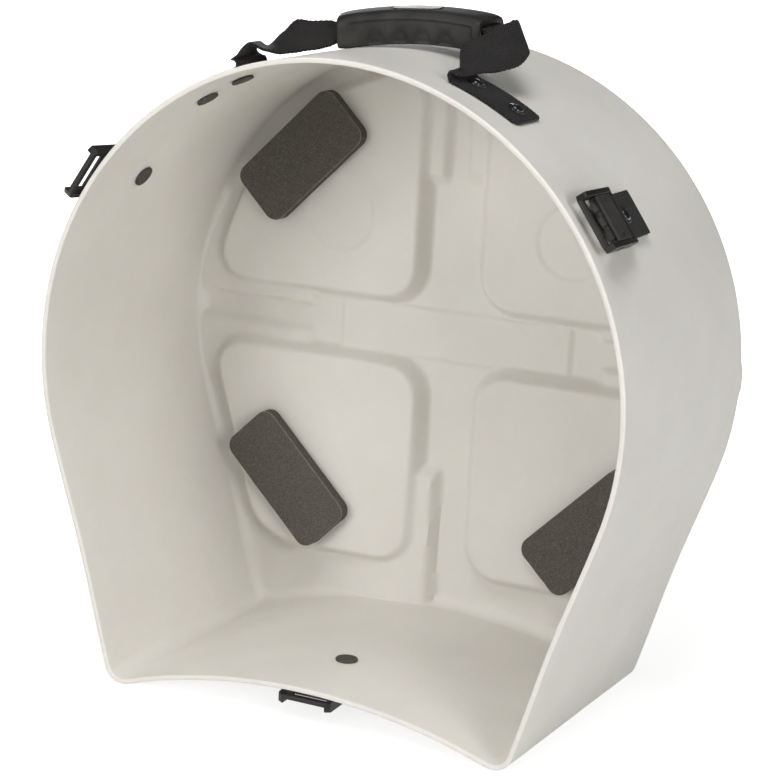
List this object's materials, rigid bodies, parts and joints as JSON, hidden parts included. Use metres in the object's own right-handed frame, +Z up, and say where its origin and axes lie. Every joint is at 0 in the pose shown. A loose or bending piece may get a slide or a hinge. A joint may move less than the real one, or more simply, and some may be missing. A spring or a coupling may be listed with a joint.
{
  "type": "snare drum case shell with handle and cam buckles",
  "caption": "Open moulded case body for a snare drum, with foam pads inside, a webbing handle and cam buckles round the rim, shown without its lid.",
  "frame": {"origin": "bottom centre of the bounding box, on the floor between the two feet", "axes": "+Z up, -Y towards the open front, +X to the right when looking at the open front"},
  "size_m": [0.418, 0.2196, 0.4559],
  "materials": {
    "shell": "rotationally moulded polyethylene, fine grain",
    "foam": "closed-cell foam, open cut face",
    "webbing": "woven polypropylene webbing",
    "grip": "soft moulded grip, satin",
    "badge": "bare inlay",
    "buckle": "moulded acetal, satin",
    "rivet": "black coated rivet",
    "cap": "dark washer",
    "pin": "ground pin"
  },
  "bodies": {
    "case": {"case_shell": "shell", "handle_strap": "webbing", "foam_pad_upper_right": "foam", "foam_pad_upper_left": "foam", "foam_pad_lower_left": "foam", "foam_pad_lower_right": "foam", "strap_rivet_right_inner": "rivet", "strap_rivet_right_outer": "rivet", "strap_rivet_left_inner": "rivet", "strap_rivet_left_outer": "rivet", "strap_cap_right_inner": "cap", "strap_cap_right_outer": "cap", "strap_cap_left_inner": "cap", "strap_cap_left_outer": "cap", "latch_rivet_right": "rivet", "latch_rivet_left": "rivet", "latch_rivet_bottom": "rivet", "latch_cap_right": "cap", "latch_cap_left": "cap", "latch_cap_bottom": "cap", "webbing_loop_right": "webbing", "webbing_loop_left": "webbing", "webbing_loop_bottom": "webbing"},
    "handle": {"handle_grip": "grip", "grip_badge": "badge"},
    "buckle_right": {"buckle_frame_right": "buckle", "lever_pin_right": "pin"},
    "buckle_left": {"buckle_frame_left": "buckle", "lever_pin_left": "pin"},
    "buckle_bottom": {"buckle_frame_bottom": "buckle", "lever_pin_bottom": "pin"},
    "lever_right": {"cam_lever_right": "buckle"},
    "lever_left": {"cam_lever_left": "buckle"},
    "lever_bottom": {"cam_lever_bottom": "buckle"}
  },
  "joints": [
    {"name": "handle_lift", "type": "slide", "parent": "case", "child": "handle", "axis": [0, -0.655, 0.7556], "range_m": [0, 0.09], "deforming": ["handle_strap"]},
    {"name": "buckle_swing_right", "type": "hinge", "parent": "case", "child": "buckle_right", "pos_m": [0.17153, -0.05885, 0.34435], "axis": [-0.5807, 0, 0.8141], "range_deg": [0, 80]},
    {"name": "lever_open_right", "type": "hinge", "parent": "buckle_right", "child": "lever_right", "pos_m": [0.17326, -0.08376, 0.34559], "axis": [0.5807, 0, -0.8141], "range_deg": [0, 70]},
    {"name": "buckle_swing_left", "type": "hinge", "parent": "case", "child": "buckle_left", "pos_m": [-0.17711, -0.05885, 0.33614], "axis": [-0.5417, 0, -0.8406], "range_deg": [0, 80]},
    {"name": "lever_open_left", "type": "hinge", "parent": "buckle_left", "child": "lever_left", "pos_m": [-0.17889, -0.08376, 0.33729], "axis": [0.5417, 0, 0.8406], "range_deg": [0, 70]},
    {"name": "buckle_swing_bottom", "type": "hinge", "parent": "case", "child": "buckle_bottom", "pos_m": [0, -0.05875, 0.01686], "axis": [1, 0, 0], "range_deg": [0, 80]},
    {"name": "lever_open_bottom", "type": "hinge", "parent": "buckle_bottom", "child": "lever_bottom", "pos_m": [0, -0.08372, 0.01573], "axis": [-1, 0, 0], "range_deg": [0, 70]}
  ]
}
